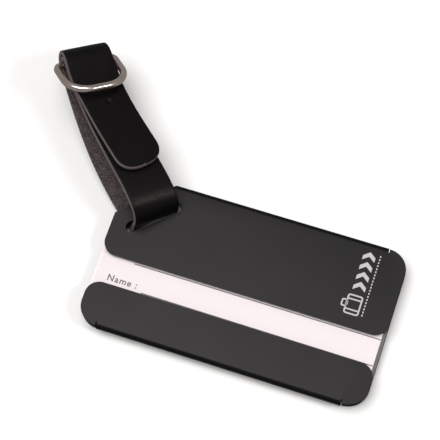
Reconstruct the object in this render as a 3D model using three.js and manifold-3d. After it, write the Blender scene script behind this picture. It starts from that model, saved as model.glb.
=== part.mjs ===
// A luggage tag: a folded aluminium name-card holder on a leather strap, whose free end goes through a metal ring.
// Millimetres and degrees. The origin is the centre of the holder's back face. +X runs along the holder's length
// and is the way the card slides out, +Y runs towards the wide flap's folded edge, and +Z comes out of the face.
import * as THREE from "three";
import { mergeVertices } from "three/addons/utils/BufferGeometryUtils.js";
import Module from "manifold-3d";

const wasm = await Module();
wasm.setup();

// ---- Driving dimensions ----

// Holder: one sheet, folded over along both long edges into a wide and a narrow flap.
const tagLength = 80;
const tagWidth = 45;
const sheet = 0.8; // thickness of the aluminium
const pocket = 1.4; // clear height between the back panel and the flaps
const wideFlap = 24.5; // depth from the folded edge to the window
const narrowFlap = 12.4;
const windowRadius = 4; // flap corners beside the window
const cornerRadius = 5.8; // outer corners
const cornerRelief = 0.5; // the outer corners stop this far short of the folded edges
const chamferAlong = 14; // the cut corner's length along the folded edge
const chamferAngle = 42.5; // between the cut corner and the long edges
const slotLength = 16.4;
const slotWidth = 3.2;
const landWidth = 4.2; // metal between the strap slot and the cut corner
const slotShift = -0.4; // the slot's centre along the cut corner, from its middle

// Name card and its clear cover, both in the pocket.
const paper = 0.35;
const film = 0.25;
const cardPlay = 1.1; // the card is this much shorter than the holder,
const cardSlid = -0.45; // and has slid this far along X from the middle
const cardSideGap = 0.8; // card to where the folds begin
const cardCutMargin = 0.4; // the strap end is straight this far past the wide flap's round window corner
const cardRadius = 3;
const filmPlay = 0.7; // the same two for the cover
const filmSlid = 0.25;
const filmSideOverlap = 0.4; // the cover stands this far past the card at its sides
const layerGap = 0.2; // between the panel, the card and the cover

// Strap: one strip of leather. Its fixed end is folded round the ring's hidden bar and riveted to itself, and its
// free end goes through the holder's slot, back over that bar, and out under the ring's other bar.
const strapWidth = 13;
const leather = 1.3;
const clearance = 0.3; // between the leather's layers, and between the leather and the metal
const slotPlay = 0.5; // how far the strap's middle stands from the slot's middle, away from the land
const strapReach = 47.4; // from the slot to the hidden bar
const barHeight = 11.1; // of the hidden bar's middle
const loopSkew = 0.2; // sideways shift of the hidden bar
const loopYaw = -7.4; // the ring end, turned about +Z,
const loopRise = 11.5; // then raised,
const loopRoll = 18.3; // then rolled, with its right side low
const slotTwist = 15; // the strip's slant as it comes up through the slot
const slotLean = -10; // its lean away from the ring as it leaves the face
const landMargin = 1.2; // the strap stays level this far past the cut corner
const backYaw = 8; // the back run's sideways slant as it leaves the land
const backRise = 12; // and its slope
const frontHandles = [16, 23]; // how long each end of the front run keeps its direction
const backHandles = [14, 17];
const fixedEnd = 19; // length of leather folded back from the hidden bar
const fixedTaper = 9; // length over which that leather closes up to the front run
const fixedShift = 0.9; // its sideways shift at its end, out of sight under the front run
const tailLength = 36.6; // free end, from the hidden bar to the tip
const tailLift = 0.6; // extra gap under the tail at its tip
const tailShift = 1.4; // the tail's sideways shift at its tip
const tailStart = 9; // length over which the tail still lies flat on the front run
const bendFront = 17; // length of the front run that belongs to the bend at the slot
const bendBack = 6; // and of the back run

// Ring and rivet.
const wire = 2; // thickness of the ring's wire
const ringWidth = 16.8; // between the middles of its side bars
const ringShift = -0.38; // how far it has slid sideways along its hidden bar
const ringDepth = 13.3; // between the middles of the hidden bar and the front bar
const ringBackRadius = 2; // corners at the hidden bar, at the middle of the wire
const ringFrontRadius = 6.4; // corners at the front bar
const rivetPlace = 14.5; // from the hidden bar, along the front run
const rivetShank = 1.6;
const rivetHead = 4;
const rivetHeadHeight = 0.5;

// ---- Values worked out from them ----

const thickness = 2 * sheet + pocket;
const foldRadius = thickness / 2; // outside of the fold
const halfLength = tagLength / 2;
const halfWidth = tagWidth / 2;
const foldLine = halfWidth - foldRadius; // where the flat sheet ends and the fold begins
const foldEnd = halfLength - cornerRadius;
const chamferTurn = THREE.MathUtils.degToRad(chamferAngle);
const chamferDown = chamferAlong * Math.tan(chamferTurn);

const radians = THREE.MathUtils.degToRad;
const up = new THREE.Vector3(0, 0, 1);
const across = new THREE.Vector3(Math.cos(chamferTurn), Math.sin(chamferTurn), 0); // along the slot
const away = new THREE.Vector3(-Math.sin(chamferTurn), Math.cos(chamferTurn), 0); // from the slot to the ring
const chamferMiddle = new THREE.Vector3(
  -halfLength + chamferAlong / 2,
  halfWidth - chamferDown / 2,
  thickness / 2,
);

// The point reached from `start` by each [direction, distance] in turn.
function from(start, ...moves) {
  const point = start.clone();
  for (const [direction, distance] of moves) point.addScaledVector(direction, distance);
  return point;
}

const slotMiddle = from(chamferMiddle, [across, slotShift], [away, -(landWidth + slotWidth / 2)]);
const landMiddle = from(slotMiddle, [away, (slotWidth + landWidth) / 2]);

// ---- Solids ----

function solid(geometry) {
  const bare = geometry.clone();
  bare.deleteAttribute("normal");
  bare.deleteAttribute("uv");
  const merged = mergeVertices(bare, 1e-4);
  return new wasm.Manifold(
    new wasm.Mesh({
      numProp: 3,
      vertProperties: new Float32Array(merged.attributes.position.array),
      triVerts: new Uint32Array(merged.index.array),
    }),
  );
}

function geometryOf(manifold) {
  const { vertProperties, triVerts } = manifold.getMesh();
  const geometry = new THREE.BufferGeometry();
  geometry.setAttribute("position", new THREE.BufferAttribute(vertProperties, 3));
  geometry.setIndex(new THREE.BufferAttribute(triVerts, 1));
  const flat = geometry.toNonIndexed();
  flat.computeVertexNormals();
  return flat;
}

function plate(shape, bottom, height) {
  const geometry = new THREE.ExtrudeGeometry(shape, { depth: height, bevelEnabled: false, curveSegments: 10 });
  return geometry.translate(0, 0, bottom);
}

function part(name, geometry, colour, roughness, metalness) {
  const material = new THREE.MeshStandardMaterial({ color: colour, roughness, metalness });
  const mesh = new THREE.Mesh(geometry, material);
  mesh.name = name;
  return mesh;
}

// ---- Holder ----

const upperLimit = halfWidth - cornerRelief;
const chamferAtLimit = -halfLength + chamferAlong - cornerRelief / Math.tan(chamferTurn);
const chamferFoot = halfWidth - chamferDown;

// The edge from the right end round the wide flap's side: corner, step to the fold, and cut corner.
function wideSide(shape) {
  shape.absarc(foldEnd, upperLimit - cornerRadius, cornerRadius, 0, Math.PI / 2);
  shape.lineTo(foldEnd, foldLine);
  shape.lineTo(-halfLength + chamferAlong, foldLine);
  shape.lineTo(-halfLength + chamferAlong, upperLimit);
  shape.lineTo(chamferAtLimit, upperLimit);
  shape.lineTo(-halfLength, chamferFoot);
}

// The edge from the left end round the narrow flap's side.
function narrowSide(shape) {
  shape.absarc(-foldEnd, cornerRadius - upperLimit, cornerRadius, Math.PI, Math.PI * 1.5);
  shape.lineTo(-foldEnd, -foldLine);
  shape.lineTo(foldEnd, -foldLine);
  shape.absarc(foldEnd, cornerRadius - upperLimit, cornerRadius, Math.PI * 1.5, Math.PI * 2);
}

function backPanel() {
  const shape = new THREE.Shape();
  shape.moveTo(halfLength, 0);
  wideSide(shape);
  narrowSide(shape);
  shape.closePath();
  return plate(shape, 0, sheet);
}

function widePanel() {
  const edge = halfWidth - wideFlap;
  const shape = new THREE.Shape();
  shape.moveTo(halfLength, edge + windowRadius);
  wideSide(shape);
  shape.absarc(-halfLength + windowRadius, edge + windowRadius, windowRadius, Math.PI, Math.PI * 1.5);
  shape.absarc(halfLength - windowRadius, edge + windowRadius, windowRadius, Math.PI * 1.5, Math.PI * 2);
  return plate(shape, thickness - sheet, sheet);
}

function narrowPanel() {
  const edge = narrowFlap - halfWidth;
  const shape = new THREE.Shape();
  shape.moveTo(-halfLength, edge - windowRadius);
  narrowSide(shape);
  shape.absarc(halfLength - windowRadius, edge - windowRadius, windowRadius, 0, Math.PI / 2);
  shape.absarc(-halfLength + windowRadius, edge - windowRadius, windowRadius, Math.PI / 2, Math.PI);
  return plate(shape, thickness - sheet, sheet);
}

// Half a tube along X, with short straight legs that run into the panels. `side` is 1 for the +Y edge, -1 for -Y.
function fold(side, start, end) {
  const leg = 1;
  const shape = new THREE.Shape();
  shape.moveTo(-leg, -foldRadius);
  shape.absarc(0, 0, foldRadius, -Math.PI / 2, Math.PI / 2);
  shape.lineTo(-leg, foldRadius);
  shape.lineTo(-leg, pocket / 2);
  shape.absarc(0, 0, pocket / 2, Math.PI / 2, -Math.PI / 2, true);
  shape.lineTo(-leg, -pocket / 2);
  shape.closePath();
  const length = end - start;
  const geometry = new THREE.ExtrudeGeometry(shape, { depth: length, bevelEnabled: false, curveSegments: 12 });
  geometry.translate(0, 0, -length / 2);
  const alongX = new THREE.Matrix4().makeBasis(
    new THREE.Vector3(0, 1, 0),
    new THREE.Vector3(0, 0, 1),
    new THREE.Vector3(1, 0, 0),
  );
  geometry.applyMatrix4(alongX);
  if (side < 0) geometry.rotateZ(Math.PI);
  return geometry.translate((start + end) / 2, side * foldLine, foldRadius);
}

function slotCutter() {
  const radius = slotWidth / 2;
  const reach = slotLength / 2 - radius;
  const shape = new THREE.Shape();
  shape.absarc(reach, 0, radius, -Math.PI / 2, Math.PI / 2);
  shape.absarc(-reach, 0, radius, Math.PI / 2, Math.PI * 1.5);
  const cutter = plate(shape, -sheet, thickness + 2 * sheet);
  return cutter.rotateZ(chamferTurn).translate(slotMiddle.x, slotMiddle.y, 0);
}

function holder() {
  const pieces = [
    backPanel(),
    widePanel(),
    narrowPanel(),
    fold(1, -halfLength + chamferAlong, foldEnd),
    fold(-1, -foldEnd, foldEnd),
  ];
  const folded = pieces.map(solid).reduce((sum, piece) => sum.add(piece));
  return geometryOf(folded.subtract(solid(slotCutter())));
}

// ---- Name card and clear cover ----

// The outline of the card, or of its cover, whose sides stand out by `extra`. It is `play` shorter than the holder and
// lies `slid` from the middle. Its corner is cut parallel to the slot, clear of the strap, and
// the cut ends just past the round corner of the window.
function cardShape(play, slid, extra) {
  const right = halfLength - play / 2 + slid;
  const left = -halfLength + play / 2 + slid;
  const top = foldLine - cardSideGap + extra;
  const radius = cardRadius + extra;
  const strapSide = from(slotMiddle, [away, -(slotWidth / 2 + 2 * clearance + filmSideOverlap - extra)]);
  const slope = Math.tan(chamferTurn);
  const foot = halfWidth - wideFlap + windowRadius + cardCutMargin + extra; // of the cut
  const shape = new THREE.Shape();
  shape.moveTo(right, 0);
  shape.absarc(right - radius, top - radius, radius, 0, Math.PI / 2);
  shape.lineTo(strapSide.x + (top - strapSide.y) / slope, top);
  shape.lineTo(strapSide.x - (strapSide.y - foot) / slope, foot);
  shape.lineTo(left, foot);
  shape.absarc(left + radius, -top + radius, radius, Math.PI, Math.PI * 1.5);
  shape.absarc(right - radius, -top + radius, radius, Math.PI * 1.5, Math.PI * 2);
  shape.closePath();
  return shape;
}

const cardBottom = sheet + layerGap;
const coverBottom = cardBottom + paper + layerGap;

// ---- Ring's place ----

// The ring end's own directions: `width` along the bars, `along` up the strap, `out` off its grain side.
const turned = new THREE.Matrix4()
  .makeRotationAxis(up, radians(loopYaw))
  .multiply(new THREE.Matrix4().makeBasis(across, away, up));
const width = new THREE.Vector3();
const along = new THREE.Vector3();
const out = new THREE.Vector3();
turned.extractBasis(width, along, out);
along.applyAxisAngle(width, radians(loopRise));
out.applyAxisAngle(width, radians(loopRise));
width.applyAxisAngle(along, radians(loopRoll));
out.applyAxisAngle(along, radians(loopRoll));

const bar = from(slotMiddle, [away, strapReach], [across, loopSkew]).setZ(barHeight);
const innerTurn = (wire + leather) / 2 + clearance; // of the fixed end's middle round the hidden bar
const outerTurn = innerTurn + leather + clearance; // of the free end's, over that

// ---- Strap's route ----

// A stretch of strap: a curve, the direction of the strip's width at its two ends, and how it turns between them.
function stretch(curve, startWidth, endWidth, ease = (t) => t) {
  const length = curve.getLength();
  const at = (distance) => {
    const t = THREE.MathUtils.clamp(distance / length, 0, 1);
    const point = curve.getPointAt(t);
    const tangent = curve.getTangentAt(t);
    const side = startWidth.clone().lerp(endWidth, ease(t));
    side.addScaledVector(tangent, -side.dot(tangent)).normalize();
    return { point, side, grain: new THREE.Vector3().crossVectors(tangent, side) };
  };
  return { length, at };
}

const bezier = (...points) => new THREE.CubicBezierCurve3(...points);

const slotUp = up.clone().applyAxisAngle(away, radians(slotTwist));
const slotWidthway = across.clone().applyAxisAngle(away, radians(slotTwist));
const slotOut = slotUp.clone().applyAxisAngle(across, -radians(slotLean));
const backOut = away
  .clone()
  .applyAxisAngle(up, radians(backYaw))
  .applyAxisAngle(across, radians(backRise));
const backWidthway = new THREE.Vector3().crossVectors(backOut, up).normalize();

const faceExit = from(slotMiddle, [away, -slotPlay], [up, thickness / 2]);
const landExit = from(
  landMiddle,
  [away, landWidth / 2 + landMargin],
  [up, -(thickness / 2 + clearance + leather / 2)],
  [across, -Math.tan(radians(slotTwist)) * landWidth * 1.5],
);
const frontTop = from(bar, [out, innerTurn]);
const backTop = from(bar, [out, -outerTurn]);

const frontRun = stretch(
  bezier(
    frontTop,
    from(frontTop, [along, -frontHandles[1]]),
    from(faceExit, [slotOut, frontHandles[0]]),
    faceExit,
  ),
  width,
  slotWidthway,
);
const backRun = stretch(
  bezier(
    landExit,
    from(landExit, [backOut, backHandles[0]]),
    from(backTop, [along, -backHandles[1]]),
    backTop,
  ),
  backWidthway,
  width,
);
const slotRun = stretch(
  bezier(
    faceExit,
    from(faceExit, [slotOut, -thickness]),
    from(landExit, [backOut, -(landMargin + landWidth + slotWidth / 2)]),
    landExit,
  ),
  slotWidthway,
  backWidthway,
  (t) => 1 - (1 - t) ** 3, // flat before it reaches the land's underside
);

// Half a turn round the hidden bar, from under it to over it.
class BarTurn extends THREE.Curve {
  constructor(radius) {
    super();
    this.radius = radius;
  }
  getPoint(t, target = new THREE.Vector3()) {
    const turn = Math.PI * (t - 0.5);
    return target
      .copy(bar)
      .addScaledVector(along, Math.cos(turn) * this.radius)
      .addScaledVector(out, Math.sin(turn) * this.radius);
  }
}
const innerWrap = stretch(new BarTurn(innerTurn), width, width);
const outerWrap = stretch(new BarTurn(outerTurn), width, width);

// The fixed end leaves the hidden bar and closes up to the front run's flesh side.
function endCurve() {
  const points = [];
  const steps = 12;
  for (let step = 0; step <= steps; step++) {
    const distance = fixedEnd * (1 - step / steps);
    const open = 0.5 + 0.5 * Math.cos(Math.PI * Math.min(1, distance / fixedTaper));
    const { point, side, grain } = frontRun.at(distance);
    const drop = THREE.MathUtils.lerp(leather + clearance, 2 * innerTurn, open);
    points.push(from(point, [grain, -drop], [side, (fixedShift * distance) / fixedEnd]));
  }
  return new THREE.CatmullRomCurve3(points);
}
const endRun = stretch(endCurve(), frontRun.at(fixedEnd).side, width);

// The tail lies on the front run's grain side, and stands off it a little towards its tip.
function tailCurve() {
  const points = [];
  const steps = 14;
  for (let step = 0; step <= steps; step++) {
    const distance = (tailLength * step) / steps;
    const free = Math.max(0, distance - tailStart) / (tailLength - tailStart);
    const { point, side, grain } = frontRun.at(distance);
    const gap = outerTurn - innerTurn + tailLift * free ** 1.5;
    points.push(from(point, [grain, gap], [side, tailShift * free]));
  }
  return new THREE.CatmullRomCurve3(points);
}
const tailRun = stretch(tailCurve(), width, frontRun.at(tailLength).side);

// ---- Ring's pitch ----

// How far the ring's front stretch lies from the hidden bar, at a distance to the side of its middle.
function ringFrontAt(sideways) {
  const inCorner = Math.min(ringFrontRadius, Math.max(0, sideways - (ringWidth / 2 - ringFrontRadius)));
  return ringDepth - ringFrontRadius + Math.sqrt(ringFrontRadius ** 2 - inCorner ** 2);
}

// The least pitch about the hidden bar at which the ring's wire clears the tail's upper face under it.
function pitchOverTail() {
  const reach = wire / 2 + clearance;
  let pitch = 0;
  for (let distance = 0; distance < ringDepth + wire; distance += leather / 4) {
    const { point, side, grain } = tailRun.at(distance);
    for (const share of [-1, -0.75, -0.5, 0, 0.5, 0.75, 1]) {
      const spot = from(point, [side, (share * strapWidth) / 2], [grain, leather / 2]).sub(bar);
      const radius = Math.hypot(spot.dot(along), spot.dot(out));
      if (Math.abs(radius - ringFrontAt(Math.abs(spot.dot(width) - ringShift))) < reach)
        pitch = Math.max(pitch, Math.atan2(spot.dot(out), -spot.dot(along)) + Math.asin(reach / radius));
    }
  }
  return pitch;
}

const ringPitch = pitchOverTail();
const ringBack = along.clone().applyAxisAngle(width, -ringPitch); // from the front bar to the hidden bar

// ---- Strap's solids ----

// A strip of leather along the given stretches, from `start` to `end`, measured along all of them. `half` gives half
// its width at a distance from its end.
function strip(stretches, start, end, steps, half = () => strapWidth / 2) {
  const geometry = new THREE.BoxGeometry(1, 1, leather, steps, 1, 1);
  const position = geometry.attributes.position;
  for (let index = 0; index < position.count; index++) {
    let distance = start + (end - start) * (position.getX(index) + 0.5);
    const reach = half(end - distance) * Math.sign(position.getY(index));
    let which = 0;
    while (which < stretches.length - 1 && distance > stretches[which].length) {
      distance -= stretches[which].length;
      which++;
    }
    const { point, side, grain } = stretches[which].at(distance);
    const place = from(point, [side, reach], [grain, position.getZ(index)]);
    position.setXYZ(index, place.x, place.y, place.z);
  }
  geometry.computeVertexNormals();
  return geometry;
}

const cut = clearance / 2; // half the gap where two of the strap's solids meet

// A tapered round tip: an ellipse's quarter on each side.
const tipLength = strapWidth * 0.42;
const tip = (left) => {
  const share = THREE.MathUtils.clamp(left / tipLength, 0, 1);
  return (strapWidth / 2) * Math.max(0.3, Math.sqrt(1 - (1 - share) ** 2));
};

const tailRoot = ringDepth * Math.cos(ringPitch) + wire; // just past the front bar

function strapFront() {
  const loop = [endRun, innerWrap, frontRun];
  const end = endRun.length + innerWrap.length + frontRun.length - bendFront - cut;
  const band = solid(strip(loop, 0, end, 64));
  return geometryOf(band.subtract(solid(rivetBody(clearance))));
}

function strapBend() {
  const loop = [frontRun, slotRun, backRun];
  const start = frontRun.length - bendFront + cut;
  return strip(loop, start, frontRun.length + slotRun.length + bendBack - cut, 40);
}

function strapBack() {
  return strip([backRun, outerWrap, tailRun], bendBack + cut, backRun.length + outerWrap.length + tailRoot - cut, 56);
}

function strapTail() {
  return strip([tailRun], tailRoot + cut, tailRun.length, 24, tip);
}

// ---- Rivet ----

// A shank through both layers at the fixed end, its outer head let into the leather and its inner head standing on it.
function rivetBody(extra) {
  const station = frontRun.at(rivetPlace);
  const outerFace = leather / 2;
  const innerFace = -(leather * 1.5 + clearance * 1.5);
  const head = rivetHead / 2 + extra;
  const shank = rivetShank / 2 + extra;
  const innerHead = extra ? shank : head;
  const profile = [
    [0, innerFace - rivetHeadHeight - extra],
    [innerHead, innerFace - rivetHeadHeight - extra],
    [innerHead, innerFace],
    [shank, innerFace],
    [shank, outerFace - rivetHeadHeight - extra / 2],
    [head, outerFace - rivetHeadHeight - extra / 2],
    [head, outerFace + extra],
    [0, outerFace + extra],
  ].map(([radius, height]) => new THREE.Vector2(radius, height));
  const geometry = new THREE.LatheGeometry(profile, 20);
  const forward = new THREE.Vector3().crossVectors(station.side, station.grain);
  const frame = new THREE.Matrix4().makeBasis(station.side, station.grain, forward);
  return geometry.applyMatrix4(frame.setPosition(station.point));
}

// ---- Ring ----

// A D of round wire: tight corners at the hidden bar, wide ones at the front bar.
function ring() {
  const middle = from(bar, [ringBack, -ringDepth / 2], [width, ringShift]);
  const corners = [
    [1, 1, ringBackRadius],
    [-1, 1, ringBackRadius],
    [-1, -1, ringFrontRadius],
    [1, -1, ringFrontRadius],
  ];
  const points = [];
  const cornerSteps = 8;
  corners.forEach(([x, y, radius], corner) => {
    for (let step = 0; step <= cornerSteps; step++) {
      const turn = (Math.PI / 2) * (corner + step / cornerSteps);
      const sideways = x * (ringWidth / 2 - radius) + radius * Math.cos(turn);
      const deep = y * (ringDepth / 2 - radius) + radius * Math.sin(turn);
      points.push(from(middle, [width, sideways], [ringBack, deep]));
    }
  });
  const normal = new THREE.Vector3().crossVectors(width, ringBack);
  const sides = 10;
  const geometry = new THREE.TorusGeometry(1, 0.5, sides, points.length);
  return sweep(geometry, points, normal, sides);
}

// Re-places a torus's rings of vertices round a closed, flat loop of points.
function sweep(torus, points, normal, sides) {
  const position = torus.attributes.position;
  for (let around = 0; around <= sides; around++) {
    const turn = (2 * Math.PI * around) / sides;
    for (let step = 0; step <= points.length; step++) {
      const here = points[step % points.length];
      const before = points[(step + points.length - 1) % points.length];
      const after = points[(step + 1) % points.length];
      const tangent = after.clone().sub(before).normalize();
      const outward = new THREE.Vector3().crossVectors(tangent, normal);
      const place = from(here, [outward, (wire / 2) * Math.cos(turn)], [normal, (wire / 2) * Math.sin(turn)]);
      position.setXYZ(around * (points.length + 1) + step, place.x, place.y, place.z);
    }
  }
  torus.computeVertexNormals();
  return torus;
}

// ---- The tag ----

const tag = new THREE.Group();
tag.add(
  part("holder", holder(), 0x403d3f, 0.5, 0.9),
  part("name_card", plate(cardShape(cardPlay, cardSlid, 0), cardBottom, paper), 0xfdf0ef, 0.8, 0),
  part("card_cover", plate(cardShape(filmPlay, filmSlid, filmSideOverlap), coverBottom, film), 0xf4f6f8, 0.15, 0),
  part("strap_bend", strapBend(), 0x151314, 0.6, 0),
  part("strap_front", strapFront(), 0x151314, 0.6, 0),
  part("strap_back", strapBack(), 0x151314, 0.6, 0),
  part("strap_tail", strapTail(), 0x151314, 0.6, 0),
  part("rivet", rivetBody(0), 0x9c8f8a, 0.3, 1),
  part("ring", ring(), 0xb8a49c, 0.2, 1),
);

export default tag;
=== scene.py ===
# %% [markdown]
# # A luggage tag in black aluminium and leather
# The real thing is a flat name-card holder, bent from one sheet of black anodised aluminium, on a
# leather strap. One end of the strap is riveted round the hidden bar of a D-shaped metal ring. The
# other end goes down through the holder's slot, comes back up behind the cut corner, turns over the
# same bar and tucks under the ring's front bar.
#
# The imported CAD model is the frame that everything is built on. It is loaded first, in metres, and
# is never moved.

import bmesh
import bpy
import numpy as np
from mathutils import Matrix, Vector


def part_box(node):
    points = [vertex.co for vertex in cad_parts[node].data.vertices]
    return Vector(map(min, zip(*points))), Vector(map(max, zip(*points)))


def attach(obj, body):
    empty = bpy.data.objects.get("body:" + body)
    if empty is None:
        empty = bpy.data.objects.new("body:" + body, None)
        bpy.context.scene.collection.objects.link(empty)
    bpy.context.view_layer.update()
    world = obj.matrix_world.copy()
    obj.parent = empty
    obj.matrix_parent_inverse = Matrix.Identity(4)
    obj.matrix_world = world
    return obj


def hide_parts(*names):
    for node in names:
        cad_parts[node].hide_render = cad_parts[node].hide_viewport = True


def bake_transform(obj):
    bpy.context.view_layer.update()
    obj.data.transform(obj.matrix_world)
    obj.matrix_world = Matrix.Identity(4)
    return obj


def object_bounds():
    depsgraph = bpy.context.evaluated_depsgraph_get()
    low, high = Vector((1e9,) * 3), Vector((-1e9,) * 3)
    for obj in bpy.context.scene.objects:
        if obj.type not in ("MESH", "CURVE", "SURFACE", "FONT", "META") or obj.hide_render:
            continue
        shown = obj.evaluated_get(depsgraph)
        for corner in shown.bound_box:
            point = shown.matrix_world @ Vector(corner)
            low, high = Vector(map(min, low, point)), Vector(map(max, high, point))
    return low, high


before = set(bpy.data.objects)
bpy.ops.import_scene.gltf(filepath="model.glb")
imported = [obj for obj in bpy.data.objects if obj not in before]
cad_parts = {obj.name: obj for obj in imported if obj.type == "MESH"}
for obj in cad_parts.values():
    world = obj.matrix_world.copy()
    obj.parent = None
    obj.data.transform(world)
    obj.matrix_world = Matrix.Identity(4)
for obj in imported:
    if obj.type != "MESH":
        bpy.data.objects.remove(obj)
cad_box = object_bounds()
MM = 0.001
print("CAD model's corners, mm:", [[round(c / MM, 1) for c in corner] for corner in cad_box])

# %% [markdown]
# ## Camera
# A long lens from high up, a little to the right of the holder's middle, shows the face almost flat
# and the strap from above. The camera is turned slightly about its own axis, so that the holder
# lies slanting down to the right.

# %% Place the camera
camera_place = Vector((52.870, -109.934, 385.235)) * MM
camera_target = Vector((-12.456, 17.132, 0.0)) * MM
camera_roll = np.radians(-9.045)

camera = bpy.data.objects.new("camera", bpy.data.cameras.new("camera"))
bpy.context.scene.collection.objects.link(camera)
camera.data.sensor_width = 36
camera.data.lens = 123.11
camera.data.clip_start = 0.01
looking = (camera_target - camera_place).to_track_quat("-Z", "Y").to_matrix()
looking = looking @ Matrix.Rotation(camera_roll, 3, "Z")
camera.matrix_world = Matrix.Translation(camera_place) @ looking.to_4x4()
bpy.context.scene.camera = camera
print("camera to target, mm:", round((camera_target - camera_place).length / MM))

# %% [markdown]
# ## Helpers for meshes
# Every piece is worked out in millimetres with numpy, the way a pattern maker would, and turned
# into a mesh in metres at the end. Faces carry the number of their finish, since one sheet or strip
# can have several: a grain side, a flesh side and a cut edge. A point can also keep its place on
# the flat pattern, in millimetres, so that a finish's texture follows the material round its bends.


# %% A mesh from points and faces
def make_piece(name, points, faces, finishes, finish_numbers=None, flat=None, smooth=True):
    mesh = bpy.data.meshes.new(name)
    corners = [tuple(point) for point in np.asarray(points) * MM]
    mesh.from_pydata(corners, [], [tuple(int(i) for i in face) for face in faces])
    for finish in finishes:
        mesh.materials.append(finish)
    if finish_numbers is not None:
        mesh.polygons.foreach_set("material_index", np.asarray(finish_numbers, np.int32))
    if flat is not None:
        places = mesh.attributes.new("flat", "FLOAT_VECTOR", "POINT").data
        places.foreach_set("vector", np.ravel(flat).astype(np.float32))
    mesh.polygons.foreach_set("use_smooth", [smooth] * len(mesh.polygons))
    mesh.update()
    piece = bpy.data.objects.new(name, mesh)
    bpy.context.scene.collection.objects.link(piece)
    print(f"{name}: {len(mesh.vertices)} points, {len(mesh.polygons)} faces")
    return piece


# %% Round off a piece's sharp edges
def round_edges(piece, radius, segments=2, sharper_than=35):
    bevel = piece.modifiers.new("rounded edges", "BEVEL")
    bevel.width = radius * MM
    bevel.segments = segments
    bevel.limit_method = "ANGLE"
    bevel.angle_limit = np.radians(sharper_than)
    bevel.harden_normals = True
    return piece


# %% [markdown]
# ## Helpers for finishes
# Colours are written as sRGB hex values, as a paint chart gives them, and turned to the linear
# values that light works in. One small function adds a node to a finish, sets its unlinked inputs,
# and links the rest.


# %% Colours and nodes
def linear(colour):
    channels = [int(colour[i : i + 2], 16) / 255 for i in (1, 3, 5)]
    return tuple(c / 12.92 if c <= 0.04045 else ((c + 0.055) / 1.055) ** 2.4 for c in channels) + (1.0,)


def add_node(finish, kind, inputs=None, **settings):
    node = finish.node_tree.nodes.new(kind)
    for name, value in settings.items():
        setattr(node, name, value)
    for name, value in (inputs or {}).items():
        if isinstance(value, bpy.types.NodeSocket):
            finish.node_tree.links.new(value, node.inputs[name])
        else:
            node.inputs[name].default_value = value
    return node


def new_finish(name):
    finish = bpy.data.materials.new(name)
    finish.use_nodes = True
    finish.node_tree.nodes.clear()
    return finish


MIX_A, MIX_B, MIX_RESULT = 6, 7, 2  # a colour Mix node's sockets
print("dark grey #1C1A1B, as light sees it:", [round(c, 4) for c in linear("#1C1A1B")])

# %% [markdown]
# ## Anodised aluminium
# The holder is 0.8 mm aluminium sheet, fine-blasted and anodised black. Blasting leaves pits a few
# hundredths of a millimetre wide, and the dyed oxide on them turns mirror reflections into an even
# satin sheen. The pits are too fine to show, so they are drawn 0.25 mm wide. Handling rubs very
# slight cloudy patches, about 15 mm across.

# %% Finish: anodised aluminium
anodised_aluminium = new_finish("anodised aluminium, fine-blasted, black")
place = add_node(anodised_aluminium, "ShaderNodeTexCoord")
pits = add_node(
    anodised_aluminium,
    "ShaderNodeTexNoise",
    {"Vector": place.outputs["Object"], "Scale": 1 / (0.25 * MM), "Detail": 2.0, "Roughness": 0.6},
)
patches = add_node(
    anodised_aluminium,
    "ShaderNodeTexNoise",
    {"Vector": place.outputs["Object"], "Scale": 1 / (15 * MM), "Detail": 3.0, "Roughness": 0.5},
)
dye = add_node(
    anodised_aluminium,
    "ShaderNodeMix",
    {0: patches.outputs["Fac"], MIX_A: linear("#242323"), MIX_B: linear("#2A2829")},
    data_type="RGBA",
)
satin = add_node(
    anodised_aluminium,
    "ShaderNodeMapRange",
    {"Value": patches.outputs["Fac"], "From Min": 0.3, "From Max": 0.7, "To Min": 0.40, "To Max": 0.46},
)
blasted = add_node(
    anodised_aluminium,
    "ShaderNodeBump",
    {"Height": pits.outputs["Fac"], "Strength": 0.06, "Distance": 0.02 * MM},
)
shader = add_node(
    anodised_aluminium,
    "ShaderNodeBsdfPrincipled",
    {
        "Base Color": dye.outputs[MIX_RESULT],
        "Metallic": 1.0,
        "Roughness": satin.outputs["Result"],
        "Normal": blasted.outputs["Normal"],
    },
)
add_node(anodised_aluminium, "ShaderNodeOutputMaterial", {"Surface": shader.outputs["BSDF"]})
print(anodised_aluminium.name)

# %% [markdown]
# ## The holder
# The real holder is one flat blank: cut out, punched with two slots, and folded over at both long
# edges until its two flaps lie 1.4 mm above the back panel, with the slots in line. A box with a
# pocket cut in it would miss the round folds, so it is made the way the real one is. The blank's
# outline is drawn flat, each point is then bent round the folds, and a thickness is given to it
# afterwards. On the blank, `u` runs along the holder and `v` across it.

# %% The holder's sizes, from the CAD
TAG_LENGTH, TAG_WIDTH, SHEET, THICKNESS = 80.0, 45.0, 0.8, 3.0
WIDE_FLAP, NARROW_FLAP, WINDOW_RADIUS, CORNER_RADIUS, CORNER_RELIEF = 24.5, 12.4, 4.0, 5.8, 0.5
EDGE_BREAK = 0.12  # how round the sheet's cut edges are
CHAMFER_ALONG, CHAMFER_TURN = 14.0, np.radians(42.5)
SLOT_LENGTH, SLOT_WIDTH, LAND_WIDTH, SLOT_SHIFT = 16.4, 3.2, 4.2, -0.4

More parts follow.
